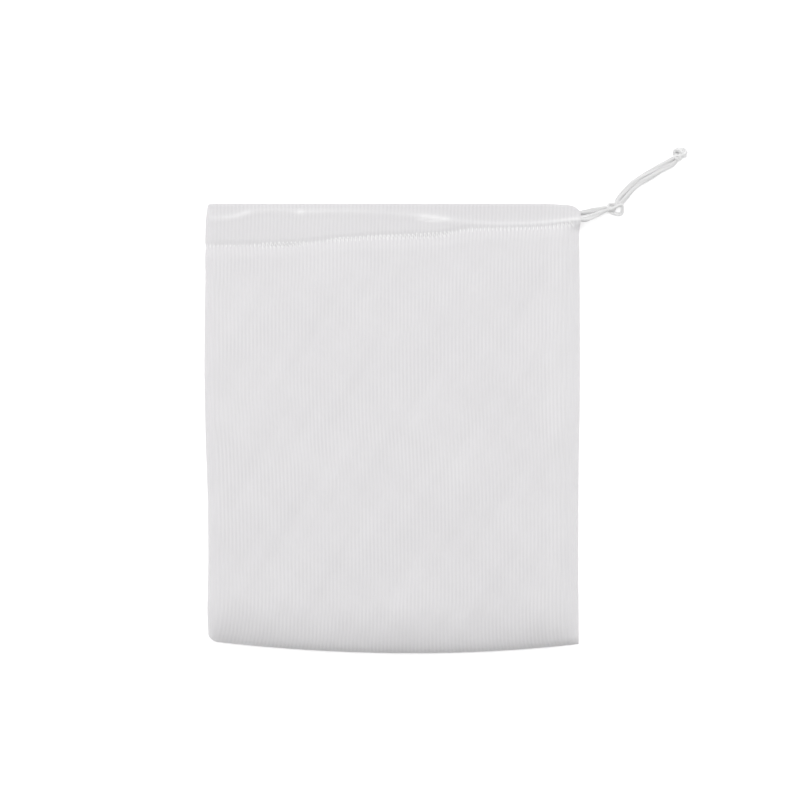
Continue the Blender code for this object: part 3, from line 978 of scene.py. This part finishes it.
def seam_margin(name, edge, inwards, material):
    """The narrow margin of cloth inside a seam, lying on the back cloth."""
    up = np.array((0.0, 0.0, 1.0))
    grid = np.array([
        edge + inwards * (MARGIN_START + MARGIN_WIDTH * t) + up * (MARGIN_BOW * math.sin(math.pi * t))
        for t in np.linspace(0.0, 1.0, 9)
    ])
    levels = {"backing": 0.1, "gathers": 0.0, "ribbed": 1.0, "shade": 0.0}
    marks = {mark: np.full(grid.shape[:2], level) for mark, level in levels.items()}
    places = np.stack([grid[..., 0] + 1.0, grid[..., 1] + 1.0, grid[..., 2] * 0], axis=2)
    return sheet_piece(name, grid, places, marks, material, outwards=False)


def settle(piece):
    """Turn the piece with its modifiers into a plain mesh."""
    bpy.context.view_layer.update()
    done = bpy.data.meshes.new_from_object(piece.evaluated_get(bpy.context.evaluated_depsgraph_get()))
    piece.modifiers.clear()
    piece.data = done


def gather(piece, slot, *nodes):
    """The piece's placement goes into its mesh, and it stands for these of the model's solids."""
    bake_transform(piece)
    if nodes:
        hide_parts(*nodes)


# --- stitches

# The hem's zigzag: a short leg up and a long one down that sinks into the cloth
ZIGZAG_LEGS = [((-0.15, -0.5, 0.5), (-0.05, 0.5, 0.5)), ((-0.05, 0.5, 0.5), (0.85, -0.5, -1.0))]
ZIGZAG = {"Pitch": 0.00275, "Width": 0.0042, "Height": 0.0003, "Thread": 0.00058}
# How deep it lies in the cloth, how far it may rise from there, and the columns it leaves bare at its ends
STITCHES_SINK, STITCHES_RISE, BACK_STITCHES_SINK = 0.0004, 0.0007, 0.0001
BARE_COLUMNS = 6
# The seams' overlock: two legs over the edge and two threads along it
OVERLOCK_LEGS = [
    ((-0.5, -0.5, 0.0), (0.0, 0.5, 1.0)), ((0.0, 0.5, 1.0), (0.5, -0.5, 0.0)),
    ((-0.5, 0.5, 1.0), (0.5, 0.5, 1.0)), ((-0.5, -0.5, 0.4), (0.5, -0.5, 0.4)),
]
OVERLOCK = {"Pitch": 0.0024, "Width": 0.0036, "Height": 0.0004, "Thread": 0.0004}
OVERLOCK_INSET, OVERLOCK_LIFT = 0.0058, 0.0003


def stitch_tree(name, shape):
    """A row of thread stitches along a path.

    shape lists the legs of one stitch as (from, to) pairs, in shares of the pitch, the width and the height.
    """
    tree = bpy.data.node_groups.new(name, "GeometryNodeTree")
    tree.interface.new_socket("Path", in_out="INPUT", socket_type="NodeSocketGeometry")
    for label in ("Pitch", "Width", "Height", "Thread"):
        tree.interface.new_socket(label, in_out="INPUT", socket_type="NodeSocketFloat")
    tree.interface.new_socket("Finish", in_out="INPUT", socket_type="NodeSocketMaterial")
    tree.interface.new_socket("Seed", in_out="INPUT", socket_type="NodeSocketInt")
    tree.interface.new_socket("Stitches", in_out="OUTPUT", socket_type="NodeSocketGeometry")
    entry = tree.nodes.new("NodeGroupInput").outputs

    def node(kind, settings=None, inputs=None):
        return add_node(tree, kind, settings, inputs)

    def times(socket, share):
        return node("ShaderNodeMath", {"operation": "MULTIPLY"}, {0: socket, 1: share})

    def corner(place):
        x, y, z = place
        return node("ShaderNodeCombineXYZ", None, {
            0: times(entry["Pitch"], x), 1: times(entry["Width"], y), 2: times(entry["Height"], z),
        })

    join = tree.nodes.new("GeometryNodeJoinGeometry")
    for start, end in shape:
        leg = node("GeometryNodeCurvePrimitiveLine", None, {"Start": corner(start), "End": corner(end)})
        tree.links.new(leg, join.inputs[0])
    radius = times(entry["Thread"], 0.5)
    ring = node("GeometryNodeCurvePrimitiveCircle", None, {"Resolution": 6, "Radius": radius})
    one = node("GeometryNodeCurveToMesh", None, {0: join.outputs[0], 1: ring, "Fill Caps": True})
    row = node("GeometryNodeMeshToCurve", None, {0: entry["Path"]})
    spaced = node("GeometryNodeResampleCurve", {"mode": "LENGTH"}, {"Curve": row, "Length": entry["Pitch"]})
    lay = node("GeometryNodeInputNamedAttribute", {"data_type": "FLOAT_VECTOR"}, {"Name": "lay"})
    along = node("GeometryNodeInputTangent")
    axes = {"primary_axis": "Z", "secondary_axis": "X"}
    turned = node("FunctionNodeAxesToRotation", axes, {0: lay, 1: along})
    size = node("FunctionNodeRandomValue", {"data_type": "FLOAT_VECTOR"}, {
        0: (0.92, 0.85, 0.8), 1: (1.08, 1.12, 1.2), "Seed": entry["Seed"],
    })
    placed = node("GeometryNodeInstanceOnPoints", None, {
        "Points": spaced, "Instance": one, "Rotation": turned, "Scale": size,
    })
    real = node("GeometryNodeRealizeInstances", None, {0: placed})
    coloured = node("GeometryNodeSetMaterial", None, {"Geometry": real, "Material": entry["Finish"]})
    exit_ = tree.nodes.new("NodeGroupOutput")
    tree.links.new(coloured, exit_.inputs[0])
    return tree


def sew(name, tree, path, lay, values, material):
    """Run a row of stitches along a path, each standing on the cloth's own slope."""
    mesh = bpy.data.meshes.new(name)
    mesh.from_pydata([tuple(p) for p in path], [(i, i + 1) for i in range(len(path) - 1)], [])
    add_stored(mesh, "lay", lay)
    piece = bpy.data.objects.new(name, mesh)
    bpy.context.scene.collection.objects.link(piece)
    stitches = piece.modifiers.new("stitches", "NODES")
    stitches.node_group = tree
    sockets = {item.name: item.identifier for item in tree.interface.items_tree if item.in_out == "INPUT"}
    for label, value in {**values, "Finish": material}.items():
        stitches[sockets[label]] = value
    settle(piece)
    piece.data.shade_smooth()
    return piece


def surface_path(grid, row, lift):
    """A path along one row of a cloth grid, lifted off it, and the cloth's outward directions there."""
    here = grid[row]
    along = np.gradient(here, axis=0)
    up = grid[min(row + 1, len(grid) - 1)] - grid[max(row - 1, 0)]
    normal = np.cross(along, up)
    normal /= np.linalg.norm(normal, axis=1)[:, None]
    return here + normal * lift, normal


# --- the bag


def make_string():
    """The strands, the knots and the loop in the hem. Returns the loop's front and back runs."""
    cord = soft_cord("white_cord", 0.76)
    # The knots take a lighter copy of the cord: painted light against the deeper shade inside them
    tied = soft_cord("white_cord_lightened", 0.88)
    end_route = overhand_route(scale=1.2, turn=50.0, rise=1.5, start=(-3.6, -3.6, 2.2), end=(4.4, -1.1, 1.5))
    knots = [
        make_knot("stopper_knot_tied", from_corner(*STOPPER_KNOT, 0.0), STOPPER_ROUTE,
                  STOPPER_RADIUS, STOPPER_APART, tied),
        make_knot("end_knot_tied", from_corner(*END_KNOT, 0.0) + Vector(END_KNOT_SHIFT), end_route,
                  END_KNOT_RADIUS, END_KNOT_APART, tied),
    ]
    make_strand("front_strand", lead_route(FRONT_LEAD, FRONT_Z, CROSSING_Z), 1,
                cord, ("front_lead", "front_tail"))
    make_strand("back_strand", lead_route(BACK_LEAD, BACK_Z, FLOOR_CORD_Z), -1,
                cord, ("back_lead", "back_tail"))
    return make_hem_string(cord)


def sew_hem(grid, stitched, thread):
    """The zigzag rows that close the hem, front and back."""
    half = grid.shape[1] // 2
    zigzag = stitch_tree("zigzag", ZIGZAG_LEGS)
    path, lay = surface_path(grid, stitched, 0.0)
    path = path + lay * (STITCHES_RISE * stitches_stand(path[:, 0]) - STITCHES_SINK)[:, None]
    front = sew("front_hem_stitches", zigzag, path[half:-BARE_COLUMNS], lay[half:-BARE_COLUMNS],
                {**ZIGZAG, "Seed": 3}, thread)
    path, lay = surface_path(grid, stitched, -BACK_STITCHES_SINK)
    back = sew("back_hem_stitches", zigzag, path[BARE_COLUMNS:half], lay[BARE_COLUMNS:half],
               {**ZIGZAG, "Seed": 5}, thread)
    return front, back


def sew_seams(cloth, thread):
    """The margins inside the bottom and the side, and their overlock threads."""
    overlock = stitch_tree("overlock", OVERLOCK_LEGS)
    xs = np.linspace(-SIDE + BOTTOM_MARGIN_SHORT[0], SIDE - BOTTOM_MARGIN_SHORT[1], MARGIN_PLACES)
    bottom = np.stack([xs, bottom_edge(xs), np.full_like(xs, MARGIN_Z)], axis=1)
    low = bottom_edge(np.array([SIDE - MARGIN_MIDDLE]))[0]
    ys = np.linspace(low + SIDE_MARGIN_SHORT[0], HEM_EDGE_Y - SIDE_MARGIN_SHORT[1], MARGIN_PLACES)
    side = np.stack([seam_edge(ys), ys, np.full_like(ys, MARGIN_Z)], axis=1)
    up = np.tile((0.0, 0.0, 1.0), (len(xs), 1))
    seams = (("bottom", bottom, np.array((0.0, 1.0, 0.0)), 7), ("side", side, np.array((-1.0, 0.0, 0.0)), 9))
    margins = [seam_margin(f"{at}_seam_margin", edge, inwards, cloth) for at, edge, inwards, _ in seams]
    threads = [
        sew(f"{at}_seam_overlock", overlock, edge + inwards * OVERLOCK_INSET + up * OVERLOCK_LIFT, up,
            {**OVERLOCK, "Seed": seed}, thread)
        for at, edge, inwards, seed in seams
    ]
    return margins + threads


def main():
    make_camera()
    make_studio()
    routes = make_string()
    thread = sewing_thread("white_thread", 0.88)
    cloth = mesh_cloth("fine_mesh")

    grid, stitched = folded_cloth(routes)
    bag = sheet_piece("folded_cloth", grid, cloth_places(grid), cloth_marks(grid, stitched, routes), cloth)
    front_stitches, back_stitches = sew_hem(grid, stitched, thread)
    bottom_flap, side_flap, bottom_stitches, side_stitches = sew_seams(cloth, thread)

    gather(bag, "mesh_cloth", "front_panel", "back_panel", "front_hem", "back_hem", "hem_fold")
    gather(bottom_flap, "mesh_cloth")
    gather(side_flap, "mesh_cloth")
    gather(front_stitches, "thread", "front_hem_stitching")
    gather(back_stitches, "thread", "back_hem_stitching")
    gather(bottom_stitches, "thread", "bottom_seam")
    gather(side_stitches, "thread", "side_seam")


main()
